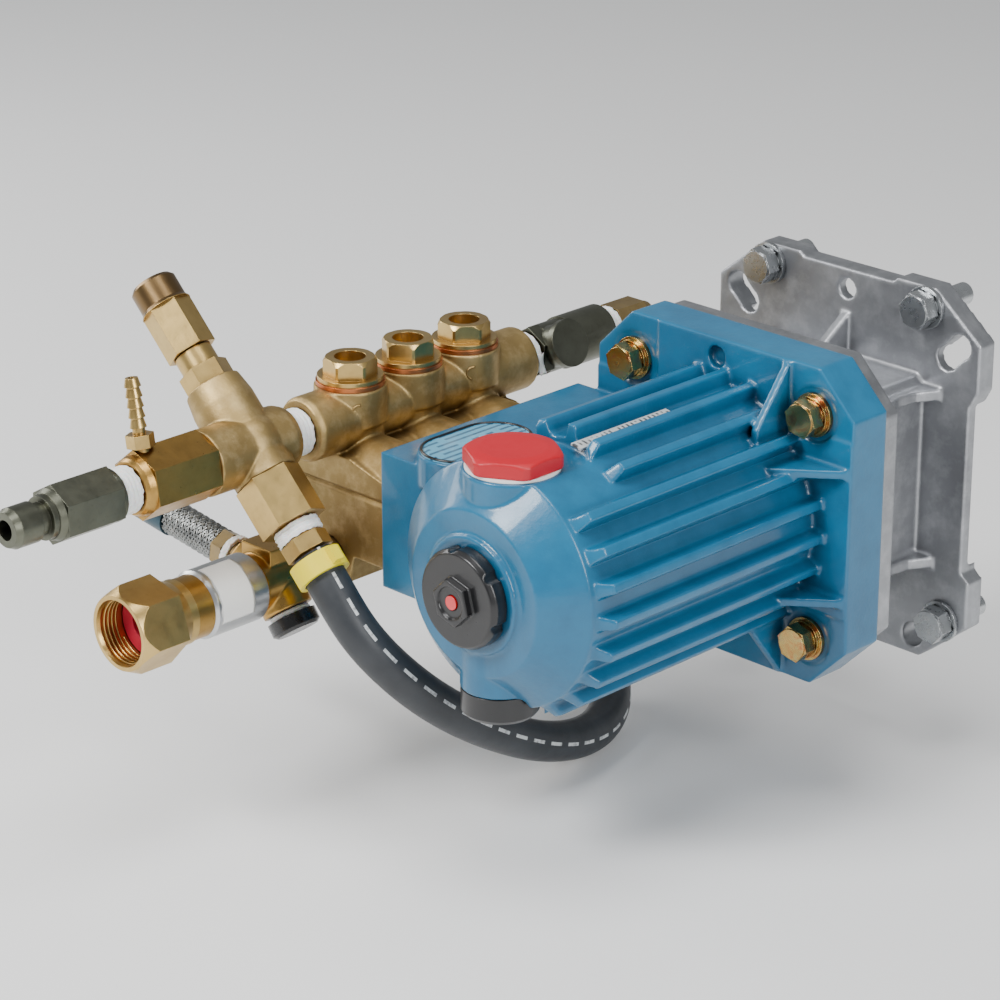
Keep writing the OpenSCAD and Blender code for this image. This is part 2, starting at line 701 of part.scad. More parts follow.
// ---- closed end of the discharge gallery ----
// frame of the tee's closed branch, +X running out of the branch
module on_branch() { translate([valve_x, -68, out_z]) rotate([0, -22, 0]) children(); }
module discharge_tee() {
  color("#858a7c") {
    difference() {
      union() {
        hexy(20, -78, -72, valve_x, out_z, turn = 30);
        yc(10.6, -72.1, -58, valve_x, out_z);
        yc(11.4, -58.1, -35, valve_x, out_z);
        on_branch() xc(9, 0, 13.2);
      }
      yc(8.6, -79, -72, valve_x, out_z);
      yc(5, -79, -42, valve_x, out_z);
      yc(8.05, -43, -34, valve_x, out_z);
      on_branch() xc(6, 0, 20);
    }
    on_branch() { xc(5.9, 9, 13.4); xc(10.2, 13.3, 16.4); }
  }
}

crankcase();
bearing_cover();
shaft_bearings();
shaft_seal();
crankshaft();
connecting_rod(0);  // connecting_rod_1
connecting_rod(1);  // connecting_rod_2
connecting_rod(2);  // connecting_rod_3
crosshead(0);  // crosshead_1
crosshead(1);  // crosshead_2
crosshead(2);  // crosshead_3
plunger(0);  // plunger_1
plunger(1);  // plunger_2
plunger(2);  // plunger_3
oil_seals();
packing_retainers();
plunger_packings();
manifold();
manifold_bolts();
valve_caps();
cap_rings();
valve_seats();
valve_disc(0, 16.05);  // discharge_valve_1
valve_disc(1, 16.05);  // discharge_valve_2
valve_disc(2, 16.05);  // discharge_valve_3
valve_disc(0, -14.45);  // inlet_valve_1
valve_disc(1, -14.45);  // inlet_valve_2
valve_disc(2, -14.45);  // inlet_valve_3
filler_cap();
filler_gasket();
sight_glass();
sight_lens();
drain_cap();
label_plates();
engine_plate();
adapter_bell();
adapter_webs();
engine_bolts();
pump_bolts();
unloader_body();
unloader_neck();
adjuster_cap();
pipe_nipples();
thread_tape();
injector_body();
injector_barb();
outlet_plug();
bypass_barb();
hose_collar();
bypass_hose();
inlet_elbow();
inlet_tee();
inlet_tail();
strainer_sleeve();
swivel_nut();
inlet_washer();
tee_cap();
relief_valve();
relief_braid();
discharge_tee();
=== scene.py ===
"""Looks of the pressure washer pump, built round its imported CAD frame. Metres, same axes as the CAD."""
import json
import math

import bmesh
import bpy
import numpy as np
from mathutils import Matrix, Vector, noise

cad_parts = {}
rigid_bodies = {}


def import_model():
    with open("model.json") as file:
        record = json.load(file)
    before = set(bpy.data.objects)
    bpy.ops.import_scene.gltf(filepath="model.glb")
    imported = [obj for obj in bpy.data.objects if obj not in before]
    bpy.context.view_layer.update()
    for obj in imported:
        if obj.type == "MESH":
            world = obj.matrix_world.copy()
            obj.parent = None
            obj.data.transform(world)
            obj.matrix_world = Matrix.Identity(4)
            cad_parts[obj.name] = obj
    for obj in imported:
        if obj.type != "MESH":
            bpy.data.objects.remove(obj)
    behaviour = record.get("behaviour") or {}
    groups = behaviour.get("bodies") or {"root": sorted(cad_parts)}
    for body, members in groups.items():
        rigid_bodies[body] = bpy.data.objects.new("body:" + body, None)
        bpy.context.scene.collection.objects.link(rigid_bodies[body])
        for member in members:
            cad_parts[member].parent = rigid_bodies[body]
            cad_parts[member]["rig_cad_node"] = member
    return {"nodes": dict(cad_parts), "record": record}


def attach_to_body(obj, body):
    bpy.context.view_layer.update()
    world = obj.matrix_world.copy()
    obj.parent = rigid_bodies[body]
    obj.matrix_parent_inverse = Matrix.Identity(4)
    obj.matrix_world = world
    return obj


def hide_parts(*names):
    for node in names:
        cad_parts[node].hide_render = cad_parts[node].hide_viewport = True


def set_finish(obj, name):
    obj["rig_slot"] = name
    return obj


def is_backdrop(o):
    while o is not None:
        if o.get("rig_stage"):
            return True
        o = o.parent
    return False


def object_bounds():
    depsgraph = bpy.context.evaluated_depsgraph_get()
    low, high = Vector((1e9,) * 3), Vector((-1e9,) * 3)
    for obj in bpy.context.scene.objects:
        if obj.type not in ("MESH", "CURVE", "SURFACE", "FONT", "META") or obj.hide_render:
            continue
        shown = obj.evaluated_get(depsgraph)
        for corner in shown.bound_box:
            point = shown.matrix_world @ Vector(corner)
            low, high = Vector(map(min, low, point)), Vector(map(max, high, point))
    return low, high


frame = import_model()
cad_lo, cad_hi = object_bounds()
NODES = frame["nodes"]
SLOT_OF = {s["node"]: s["material_slot"] for s in frame["record"]["subparts"]}
BODY_OF = {n: b for b, ns in frame["record"]["behaviour"]["bodies"].items() for n in ns}
for name in ("Cube", "Camera", "Light"):
    if name in bpy.data.objects:
        bpy.data.objects.remove(bpy.data.objects[name])
MM = 0.001

# ---------------------------------------------------------------- camera
CAM_AT = Vector((0.85587, -1.07584, 0.52038))
CAM_TO = Vector((-0.05979, -0.15035, -0.0001))
camera = bpy.data.cameras.new("camera")
camera.lens, camera.sensor_width = 126.45, 36.0
camera.clip_start, camera.clip_end = 0.05, 50
cam = bpy.data.objects.new("camera", camera)
bpy.context.scene.collection.objects.link(cam)
cam.location = CAM_AT
cam.rotation_mode = "QUATERNION"
cam.rotation_quaternion = (CAM_TO - CAM_AT).to_track_quat("-Z", "Y")
bpy.context.scene.camera = cam


VALVE_X, OUT_Z = -115, 30
TEE = (-112, -226, -26)
UNLOADER = (VALVE_X, -234, OUT_Z)
UNLOADER_TILT, RELIEF_TILT, BYPASS_TILT = -45.5, -82, 143    # degrees from +Z about Y


def aim(degrees):
    """Direction of +Z after a turn about Y."""
    a = math.radians(degrees)
    return Vector((math.sin(a), 0, math.cos(a)))


def at(p):
    return Vector(p) * MM


# ---------------------------------------------------------------- mesh helpers
def new_object(name, verts, faces, smooth=True):
    mesh = bpy.data.meshes.new(name)
    mesh.from_pydata([tuple(v) for v in verts], [], faces)
    mesh.validate()
    ob = bpy.data.objects.new(name, mesh)
    bpy.context.scene.collection.objects.link(ob)
    if smooth:
        mesh.shade_smooth()
    return ob


def join(obs, name):
    """One object from several, all at the identity."""
    bm = bmesh.new()
    for o in obs:
        bm.from_mesh(o.data)
    mesh = bpy.data.meshes.new(name)
    bm.to_mesh(mesh)
    bm.free()
    for o in obs:
        bpy.data.objects.remove(o)
    ob = bpy.data.objects.new(name, mesh)
    bpy.context.scene.collection.objects.link(ob)
    return ob


def grid_faces(rows, cols, wrap_cols=True, wrap_rows=False, first=0):
    out = []
    for i in range(rows if wrap_rows else rows - 1):
        for k in range(cols if wrap_cols else cols - 1):
            a, b = i * cols + k, i * cols + (k + 1) % cols
            c = ((i + 1) % rows) * cols
            out.append((first + a, first + b, first + c + (k + 1) % cols, first + c + k))
    return out


def axis_frame(direction):
    """Two unit vectors square to direction."""
    d = Vector(direction).normalized()
    u = d.orthogonal().normalized()
    return d, u, d.cross(u)


def lathe(name, base, direction, profile, n=96, bump=None):
    """A ring-shaped shell: profile is a closed list of (along, radius) in mm."""
    d, u, v = axis_frame(direction)
    verts = []
    for s, r in profile:
        for k in range(n):
            t = 2 * math.pi * k / n
            rr, ss = (r, s) if bump is None else bump(r, s, t)
            verts.append(base + d * ss * MM + (u * math.cos(t) + v * math.sin(t)) * rr * MM)
    return new_object(name, verts, grid_faces(len(profile), n, True, True))


def wire(points, radius, sides=6, closed=False):
    """Vertices and faces of a thin round strand along points."""
    pts = [Vector(p) for p in points]
    m = len(pts)
    verts, u = [], None
    for i, p in enumerate(pts):
        a = pts[(i - 1) % m] if closed or i > 0 else p
        b = pts[(i + 1) % m] if closed or i < m - 1 else p
        t = (b - a).normalized()
        u = t.orthogonal().normalized() if u is None else (u - t * u.dot(t)).normalized()
        w = t.cross(u)
        for k in range(sides):
            c = 2 * math.pi * k / sides
            verts.append(p + (u * math.cos(c) + w * math.sin(c)) * radius)
    faces = grid_faces(m, sides, True, closed)
    if not closed:
        faces += [tuple(range(sides - 1, -1, -1)), tuple((m - 1) * sides + k for k in range(sides))]
    return verts, faces


def attach(ob, node, slot=None, replace=True):
    """Puts a new piece on the body of a CAD node, in the node's place or beside it."""
    if replace:
        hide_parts(node)
    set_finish(ob, slot or SLOT_OF[node])
    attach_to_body(ob, BODY_OF[node])
    return ob


def bake_modifiers(ob):
    """Makes the shape that the modifiers give the mesh itself."""
    dg = bpy.context.evaluated_depsgraph_get()
    ob.data = bpy.data.meshes.new_from_object(ob.evaluated_get(dg))
    ob.modifiers.clear()


def soft_cast(nodes, voxel, rounds):
    """The shape of one or more nodes with the rounded edges and filled corners of a casting."""
    mesh = bpy.data.meshes.new(nodes[0] + "_cast")
    ob = bpy.data.objects.new(nodes[0] + "_cast", mesh)
    bpy.context.scene.collection.objects.link(ob)
    bm = bmesh.new()
    for node in nodes:
        bm.from_mesh(NODES[node].data)
    bmesh.ops.remove_doubles(bm, verts=bm.verts, dist=1e-6)
    bm.to_mesh(mesh)
    bm.free()
    m = ob.modifiers.new("voxel", "REMESH")
    m.mode, m.voxel_size, m.use_smooth_shade = "VOXEL", voxel * MM, True
    s = ob.modifiers.new("soften", "SMOOTH")
    s.factor, s.iterations = 0.5, rounds
    bake_modifiers(ob)
    made = ob.data
    made.materials.clear()
    for a in ("custom_normal", "sharp_face", "sharp_edge"):
        if a in made.attributes:
            made.attributes.remove(made.attributes[a])
    made.shade_smooth()
    for node in nodes[1:]:
        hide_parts(node)
    return attach(ob, nodes[0])


# ---------------------------------------------------------------- bypass hose
ROUTE = [(-79.3, -234, -5), (-68, -234, -16), (-55, -233, -32), (-45, -220, -51),
         (-40, -200, -70), (-38, -170, -90), (-38, -139, -105), (-44, -106, -112),
         (-58, -82, -106), (-76, -74, -96), (-93, -75, -89), (-107, -81, -85),
         (-112, -84, -72), (-112, -84, -56), (-112, -84, -41)]
HOSE_R, HOSE_BORE, HOSE_STEPS, HOSE_SIDES = 8.5, 5.6, 12, 40
UV_SCALE = 10                  # UV units in a metre of hose


def hose_route(steps):
    """The CAD's cubic B-spline through its route points."""
    p = [np.array(q, float) * MM for q in ROUTE]
    near = lambda i: p[max(0, min(i, len(p) - 1))]
    out = [p[0]]
    for i in range(len(p) - 1):
        for k in range(steps):
            if i + k == 0:
                continue
            t = k / steps
            out.append((near(i - 1) * (1 - t) ** 3 + near(i) * (3 * t ** 3 - 6 * t * t + 4)
                        + near(i + 1) * (-3 * t ** 3 + 3 * t * t + 3 * t + 1) + near(i + 2) * t ** 3) / 6)
    out.append(p[-1])
    return [Vector(q) for q in out]


def make_hose():
    path = hose_route(HOSE_STEPS)
    n, m = HOSE_SIDES, len(path)
    run = [0.0]
    for a, b in zip(path, path[1:]):
        run.append(run[-1] + (b - a).length)
    # the pale line faces the near side at mid length, and the frame doesn't twist
    tangents = [(path[min(i + 1, m - 1)] - path[max(i - 1, 0)]).normalized() for i in range(m)]
    mid = m * 5 // 12
    side = Vector((0.66, -0.66, 0.36))
    us = [None] * m
    us[mid] = (side - tangents[mid] * side.dot(tangents[mid])).normalized()
    for rng, step in ((range(mid + 1, m), -1), (range(mid - 1, -1, -1), 1)):
        for i in rng:
            u = us[i + step]
            us[i] = (u - tangents[i] * u.dot(tangents[i])).normalized()
    verts, uvs = [], []
    r_max = (HOSE_R - 0.06) * MM
    for r, rev in ((r_max, 1), (HOSE_BORE * MM, -1)):
        for i in range(m):
            w = tangents[i].cross(us[i])
            for k in range(n):
                t = 2 * math.pi * k / n
                verts.append(path[i] + (us[i] * math.cos(t) + w * math.sin(t)) * r)
    inner = m * n
    faces = grid_faces(m, n)
    faces += [tuple(reversed(f)) for f in grid_faces(m, n, first=inner)]
    for k in range(n):
        b = (k + 1) % n
        faces.append((k, inner + k, inner + b, b))
        e = (m - 1) * n
        faces.append((e + b, inner + e + b, inner + e + k, e + k))
    ob = new_object("bypass_hose_tube", verts, faces)
    layer = ob.data.uv_layers.new(name="UVMap")
    for poly in ob.data.polygons:
        for li in poly.loop_indices:
            vi = ob.data.loops[li].vertex_index % inner
            i, k = divmod(vi, n)
            turn = (k if k <= n // 2 else k - n) / n * 2 * math.pi
            layer.data[li].uv = (run[i] * UV_SCALE, 0.5 + turn * HOSE_R * MM * UV_SCALE)
    ob.data.update()
    return ob, path, run[-1]


hose, hose_path, hose_length = make_hose()
attach(hose, "bypass_hose")


# ---------------------------------------------------------------- materials
class Mat:
    """A procedural material on object coordinates."""

    def __init__(self, name, base, metallic=0.0, rough=0.4):
        self.m = bpy.data.materials.new(name)
        self.m.use_nodes = True
        self.t = self.m.node_tree
        self.b = self.t.nodes["Principled BSDF"]
        self.co = self.node("ShaderNodeTexCoord").outputs["Object"]
        self.set(**{"Base Color": base + (1,), "Metallic": metallic, "Roughness": rough})
        self.m.diffuse_color = base + (1,)
        self.colour = None
        self.base = base
        self.height = None

    def set(self, **kw):
        for k, v in kw.items():
            self.b.inputs[k].default_value = v
        return self

    def node(self, kind, **kw):
        n = self.t.nodes.new(kind)
        for k, v in kw.items():
            setattr(n, k, v)
        return n

    def put(self, socket, value):
        if isinstance(value, bpy.types.NodeSocket):
            self.t.links.new(value, socket)
        elif value is not None:
            if socket.type == "RGBA" and len(value) == 3:
                value = tuple(value) + (1,)
            socket.default_value = value

    def scaled(self, scale):
        n = self.node("ShaderNodeMapping")
        self.put(n.inputs["Vector"], self.co)
        n.inputs["Scale"].default_value = scale
        return n.outputs[0]

    def noise(self, scale, detail=4, rough=0.55, distortion=0.0, stretch=None):
        n = self.node("ShaderNodeTexNoise")
        self.put(n.inputs["Vector"], self.scaled(stretch) if stretch else self.co)
        n.inputs["Scale"].default_value = scale
        n.inputs["Detail"].default_value = detail
        n.inputs["Roughness"].default_value = rough
        n.inputs["Distortion"].default_value = distortion
        return n.outputs[0]

    def cells(self, scale, feature="F1", stretch=None):
        n = self.node("ShaderNodeTexVoronoi", feature=feature)
        self.put(n.inputs["Vector"], self.scaled(stretch) if stretch else self.co)
        n.inputs["Scale"].default_value = scale
        return n.outputs["Distance"]

    def ramp(self, fac, *stops):
        n = self.node("ShaderNodeValToRGB")
        self.put(n.inputs[0], fac)
        cr = n.color_ramp
        while len(cr.elements) < len(stops):
            cr.elements.new(0.5)
        for e, (p, c) in zip(cr.elements, stops):
            e.position = p
            e.color = (c, c, c, 1) if isinstance(c, (int, float)) else tuple(c) + (1,)
        return n.outputs[0]

    def maths(self, op, a, b=0.0, clamp=False):
        n = self.node("ShaderNodeMath", operation=op, use_clamp=clamp)
        self.put(n.inputs[0], a)
        self.put(n.inputs[1], b)
        return n.outputs[0]

    def mix(self, fac, a, b, blend="MIX"):
        n = self.node("ShaderNodeMix", data_type="RGBA", blend_type=blend)
        self.put(n.inputs["Factor"], fac)
        self.put(n.inputs[6], a)
        self.put(n.inputs[7], b)
        return n.outputs[2]

    def tint(self, fac, colour, blend="MIX"):
        """Lays a colour over what the base is so far, where fac says."""
        self.colour = self.mix(fac, self.colour if self.colour is not None else self.base, colour, blend)
        self.put(self.b.inputs["Base Color"], self.colour)
        return self

    def rough(self, fac, low, high):
        n = self.node("ShaderNodeMapRange")
        self.put(n.inputs[0], fac)
        n.inputs[3].default_value, n.inputs[4].default_value = low, high
        self.put(self.b.inputs["Roughness"], n.outputs[0])
        return self

    def bump(self, height, depth_mm, strength=1.0):
        n = self.node("ShaderNodeBump")
        n.inputs["Strength"].default_value = strength
        n.inputs["Distance"].default_value = depth_mm * MM
        self.put(n.inputs["Height"], height)
        if self.height is not None:
            self.put(n.inputs["Normal"], self.height)
        self.height = n.outputs[0]
        self.put(self.b.inputs["Normal"], self.height)
        return self

    def round_edges(self, radius_mm):
        n = self.node("ShaderNodeBevel", samples=4)
        n.inputs["Radius"].default_value = radius_mm * MM
        self.height = n.outputs[0]
        self.put(self.b.inputs["Normal"], self.height)
        return self

    def painted_hollow_shade(self, distance_mm, low=0.35, high=0.95):
        """Painted shade: 1 in corners and recesses, where ambient occlusion finds them shaded, 0 on open
        faces.
        """
        n = self.node("ShaderNodeAmbientOcclusion", samples=6)
        n.inputs["Distance"].default_value = distance_mm * MM
        return self.ramp(n.outputs["AO"], (low, 1.0), (high, 0.0))


def painted(name, base, light, dark):
    m = Mat(name, base, 0.0, 0.3)
    m.set(**{"Coat Weight": 0.45, "Coat Roughness": 0.10, "Specular IOR Level": 0.45})
    broad = m.noise(14, 3)
    m.tint(m.ramp(broad, (0.35, 0.0), (0.7, 0.6)), light)
    m.tint(m.ramp(m.noise(75, 5, 0.6), (0.42, 0.0), (0.75, 0.28)), dark)
    # painted shade: the dark blue is laid into corners and recesses
    m.tint(m.painted_hollow_shade(7), dark)
    m.tint(m.ramp(m.cells(420), (0.0, 0.5), (0.13, 0.0)), light)
    m.rough(m.noise(160, 4), 0.24, 0.44)
    m.bump(m.noise(210, 3, 0.5), 0.30, 0.35)
    m.bump(m.noise(900, 4, 0.6), 0.12, 0.5)
    return m


def cast_metal(name, base, dark, bright, rough=(0.38, 0.62), grain=1100, depth=0.14):
    m = Mat(name, base, 1.0, 0.5)
    m.tint(m.ramp(m.noise(22, 4, 0.6), (0.35, 0.0), (0.72, 0.65)), dark)
    m.tint(m.ramp(m.noise(130, 5, 0.65), (0.45, 0.0), (0.72, 0.5)), bright)
    # painted shade: the dark colour is laid into corners and recesses
    m.tint(m.painted_hollow_shade(6), dark)
    m.rough(m.noise(95, 5, 0.6), *rough)
    m.bump(m.noise(170, 3, 0.5), 0.35, 0.3)
    m.bump(m.noise(grain, 4, 0.65), depth, 0.6)
    return m


def turned_metal(name, base, dark, rough=(0.16, 0.34), edge=0.35, metallic=1.0, lines=None, tone=0.5):
    m = Mat(name, base, metallic, 0.3)
    m.round_edges(edge)
    m.tint(m.ramp(m.noise(40, 5, 0.6), (0.40, 0.0), (0.75, tone)), dark)
    m.tint(m.ramp(m.noise(420, 4, 0.6), (0.55, 0.0), (0.80, 0.3)), dark)
    # painted shade: the dark colour is laid into corners and recesses
    m.tint(m.painted_hollow_shade(3, 0.3, 0.9), dark)
    m.rough(m.noise(240, 4, 0.6), *rough)
    if lines:
        m.bump(m.noise(1.0, 2, 0.5, stretch=lines), 0.05, 0.5)
    m.bump(m.noise(700, 4, 0.6), 0.04, 0.4)
    return m


def moulded(name, base, light, rough=(0.3, 0.5), edge=0.4, coat=0.0, grain=0.06, soft=0.0):
    m = Mat(name, base, 0.0, 0.4)
    m.set(**{"Coat Weight": coat, "Coat Roughness": 0.12})
    if soft:
        m.set(**{"Subsurface Weight": soft, "Subsurface Scale": 0.003})
    m.round_edges(edge)
    m.tint(m.ramp(m.noise(60, 4), (0.4, 0.0), (0.8, 0.5)), light)
    m.rough(m.noise(300, 4), *rough)
    m.bump(m.noise(1300, 3, 0.5), grain, 0.5)
    return m


MATS = {}


def add(maker, name, *values, **more):
    MATS[name] = maker(name, *values, **more)


add(painted, "blue_paint", (0.005, 0.118, 0.240), (0.012, 0.175, 0.325), (0.002, 0.038, 0.085))
add(cast_metal, "cast_brass", (0.47, 0.335, 0.140), (0.19, 0.120, 0.042), (0.74, 0.56, 0.29))
add(cast_metal, "cast_aluminium", (0.42, 0.43, 0.45), (0.24, 0.245, 0.26), (0.62, 0.63, 0.65),
    (0.34, 0.58), 700, 0.10)
add(turned_metal, "turned_brass", (0.64, 0.45, 0.17), (0.34, 0.20, 0.06),
    (0.24, 0.40), lines=(60, 2600, 60))
add(turned_metal, "bar_brass", (0.50, 0.30, 0.085), (0.22, 0.115, 0.028), (0.2, 0.42))
add(turned_metal, "old_brass", (0.40, 0.29, 0.13), (0.18, 0.115, 0.045), (0.3, 0.55))
add(turned_metal, "dark_zinc", (0.165, 0.170, 0.130), (0.06, 0.06, 0.045), (0.25, 0.48), 0.4)
add(turned_metal, "zinc_steel", (0.58, 0.60, 0.61), (0.24, 0.25, 0.26), (0.18, 0.38))
add(turned_metal, "stainless", (0.62, 0.63, 0.64), (0.33, 0.33, 0.33), (0.22, 0.42))
add(turned_metal, "black_steel", (0.06, 0.06, 0.065), (0.03, 0.03, 0.03), (0.3, 0.5), metallic=0.8)
add(turned_metal, "bearing_steel", (0.55, 0.56, 0.58), (0.3, 0.3, 0.3))
add(turned_metal, "forged_steel", (0.48, 0.49, 0.51), (0.25, 0.25, 0.26), (0.22, 0.4))
add(turned_metal, "ground_steel", (0.62, 0.63, 0.65), (0.4, 0.4, 0.42), (0.12, 0.26))
add(cast_metal, "rod_aluminium", (0.64, 0.65, 0.66), (0.45, 0.45, 0.46), (0.8, 0.8, 0.8))
add(turned_metal, "aluminium_plate", (0.70, 0.71, 0.72), (0.48, 0.48, 0.49), (0.25, 0.45))
add(turned_metal, "copper_ring", (0.62, 0.22, 0.08), (0.25, 0.07, 0.03), (0.25, 0.5))
add(moulded, "ceramic", (0.84, 0.80, 0.70), (0.9, 0.88, 0.82), (0.06, 0.14), coat=0.5, grain=0.01)
add(moulded, "red_plastic", (0.46, 0.002, 0.012), (0.52, 0.005, 0.020),
    (0.34, 0.50), 0.8, 0.10, 0.03, 0.0)
add(moulded, "red_lens", (0.70, 0.01, 0.015), (0.9, 0.05, 0.06), (0.06, 0.15), 0.3, 0.8, 0.01)
add(moulded, "red_rubber", (0.62, 0.015, 0.05), (0.75, 0.05, 0.1), (0.4, 0.6), 0.3)
add(moulded, "yellow_plastic", (0.82, 0.66, 0.01), (0.9, 0.78, 0.05), (0.35, 0.55), 0.4, soft=0.05)
add(moulded, "white_gasket", (0.82, 0.82, 0.80), (0.9, 0.9, 0.88), (0.5, 0.7), 0.3)
add(moulded, "black_plastic", (0.006, 0.006, 0.007), (0.014, 0.014, 0.015), (0.22, 0.40), 0.6, 0.3, 0.05)
add(moulded, "cap_rubber", (0.005, 0.005, 0.006), (0.014, 0.014, 0.014), (0.20, 0.36), 0.8, 0.3, 0.05)
add(moulded, "seal_rubber", (0.02, 0.02, 0.02), (0.05, 0.05, 0.05), (0.5, 0.7), 0.3)


def bronze_tip(m):
    """The round top of the adjuster is darker than its hexagon."""
    sep = m.node("ShaderNodeSeparateXYZ")
    m.put(sep.inputs[0], m.co)
    out = aim(UNLOADER_TILT)
    along = m.maths("ADD", m.maths("MULTIPLY", sep.outputs[0], out.x),
                    m.maths("MULTIPLY", sep.outputs[2], out.z))
    start = at(UNLOADER).dot(out) + 0.0662
    m.tint(m.maths("MULTIPLY", m.maths("GREATER_THAN", along, start), 0.85), (0.14, 0.085, 0.045))


def yellow_zinc():
    m = turned_metal("yellow_zinc", (0.60, 0.40, 0.14), (0.22, 0.10, 0.035), (0.15, 0.34), 0.4, tone=0.6)
    sheen = m.noise(260, 3, 0.6, 0.8)
    m.colour = m.mix(m.ramp(m.noise(150, 3), (0.4, 0.15), (0.65, 0.75)), m.colour,
                     m.ramp(sheen, (0.36, (0.50, 0.13, 0.07)), (0.47, (0.62, 0.42, 0.15)),
                            (0.55, (0.42, 0.50, 0.22)), (0.66, (0.62, 0.24, 0.20))))
    m.put(m.b.inputs["Base Color"], m.colour)
    return m


def white_tape():
    m = Mat("white_tape", (0.86, 0.86, 0.84), 0.0, 0.45)
    m.set(**{"Subsurface Weight": 0.15, "Subsurface Scale": 0.002})
    m.tint(m.ramp(m.noise(180, 5, 0.6), (0.5, 0.0), (0.8, 0.5)), (0.55, 0.55, 0.53))
    m.rough(m.noise(300, 4), 0.32, 0.6)
    m.bump(m.noise(800, 4, 0.6), 0.12, 0.5)
    return m


def relief_metal():
    """Old brass hexagon at the tee, blue-grey metal at the far end."""
    m = turned_metal("relief_metal", (0.38, 0.27, 0.12), (0.17, 0.11, 0.045), (0.25, 0.5), 0.4, metallic=0.8)
    sep = m.node("ShaderNodeSeparateXYZ")
    m.put(sep.inputs[0], m.co)
    m.tint(m.maths("LESS_THAN", sep.outputs[0], -0.155), (0.045, 0.085, 0.110))
    m.tint(m.ramp(m.noise(90, 4), (0.5, 0.0), (0.75, 0.35)), (0.16, 0.18, 0.18))
    return m


def braided_steel():
    m = Mat("braided_steel", (0.40, 0.41, 0.40), 1.0, 0.3)
    m.tint(m.ramp(m.noise(150, 4), (0.4, 0.0), (0.7, 0.7)), (0.16, 0.17, 0.17))
    # painted shade: near black is laid in the hollows between and under the strands
    m.tint(m.painted_hollow_shade(1.2, 0.3, 0.95), (0.03, 0.035, 0.035))
    m.rough(m.noise(500, 3), 0.2, 0.45)
    m.bump(m.noise(2600, 2, 0.5, stretch=(1, 1, 1)), 0.04, 0.6)
    return m


def hose_rubber():
    """Dark satin rubber with a plain broken pale line along it, in place of the printed line."""
    m = Mat("hose_rubber", (0.022, 0.025, 0.029), 0.0, 0.42)
    m.tint(m.ramp(m.noise(45, 5, 0.6), (0.35, 0.0), (0.75, 0.7)), (0.048, 0.053, 0.060))
    uv = m.node("ShaderNodeUVMap", uv_map="UVMap")
    sep = m.node("ShaderNodeSeparateXYZ")
    m.put(sep.inputs[0], uv.outputs[0])
    along, across = sep.outputs[0], sep.outputs[1]
    off = m.maths("ABSOLUTE", m.maths("SUBTRACT", across, 0.5))
    band = m.maths("LESS_THAN", off, 0.0070)
    dash = m.maths("LESS_THAN", m.maths("FRACT", m.maths("MULTIPLY", along, 9.0)), 0.62)
    worn = m.ramp(m.noise(520, 3), (0.30, 0.25), (0.50, 0.9))
    ink = m.maths("MULTIPLY", m.maths("MULTIPLY", band, dash), worn)
    m.tint(ink, (0.62, 0.64, 0.64))
    m.rough(m.noise(260, 4), 0.34, 0.55)
    m.bump(m.noise(650, 4, 0.6), 0.08, 0.5)
    m.bump(m.noise(90, 3), 0.2, 0.25)
    return m


def plate_metal():
    """Pale blue oval plate and silver strip, with plain darker rules where print would be."""
    m = Mat("plate_metal", (0.13, 0.42, 0.60), 0.15, 0.35)
    m.set(**{"Coat Weight": 0.4, "Coat Roughness": 0.1})
    sep = m.node("ShaderNodeSeparateXYZ")
    m.put(sep.inputs[0], m.co)
    x, y = sep.outputs[0], sep.outputs[1]
    line = m.maths("FRACT", m.maths("MULTIPLY", x, 270.0))
    row = m.maths("FLOOR", m.maths("MULTIPLY", x, 270.0))
    dash = m.node("ShaderNodeTexWhiteNoise", noise_dimensions="2D")
    grid = m.node("ShaderNodeCombineXYZ")
    m.put(grid.inputs[0], row)
    m.put(grid.inputs[1], m.maths("FLOOR", m.maths("MULTIPLY", y, 260.0)))
    m.put(dash.inputs["Vector"], grid.outputs[0])
    on = m.maths("MULTIPLY", m.maths("GREATER_THAN", line, 0.62),
                 m.maths("GREATER_THAN", dash.outputs[0], 0.3))
    m.tint(m.maths("MULTIPLY", on, 0.8), (0.012, 0.070, 0.150))
    strip = m.maths("GREATER_THAN", x, -0.020)
    bars = m.maths("GREATER_THAN", m.maths("FRACT", m.maths("MULTIPLY", y, 410.0)), 0.55)
    inner = m.maths("MULTIPLY", m.maths("GREATER_THAN", x, 0.0068), m.maths("LESS_THAN", x, 0.0098))
    rules = m.maths("MULTIPLY", m.maths("MULTIPLY", bars, inner),
                    m.ramp(m.noise(300, 2), (0.4, 0.0), (0.5, 0.9)))
    silver = m.mix(rules, (0.62, 0.63, 0.62), (0.05, 0.05, 0.05))
    m.tint(strip, silver)
    m.tint(m.ramp(m.noise(120, 4), (0.5, 0.0), (0.8, 0.25)), (0.62, 0.76, 0.84))
    m.rough(m.noise(200, 3), 0.22, 0.45)
    m.bump(m.noise(600, 3), 0.04, 0.4)
    return m


MATS["yellow_zinc"] = yellow_zinc()
bronze_tip(MATS[SLOT_OF["adjuster_cap"]])
MATS["white_tape"] = white_tape()
MATS["relief_metal"] = relief_metal()
MATS["braided_steel"] = braided_steel()
MATS["hose_rubber"] = hose_rubber()
MATS["plate_metal"] = plate_metal()

# ---------------------------------------------------------------- castings
for cast_nodes, voxel_mm, rounds in ((["crankcase"], 0.75, 3), (["manifold"], 0.6, 6),
                                     (["engine_plate", "adapter_bell", "adapter_webs"], 0.8, 4),
                                     (["unloader_body"], 0.5, 5), (["inlet_tee"], 0.5, 5),
                                     (["filler_cap"], 0.4, 6), (["sight_glass"], 0.35, 3)):
    soft_cast(cast_nodes, voxel_mm, rounds)

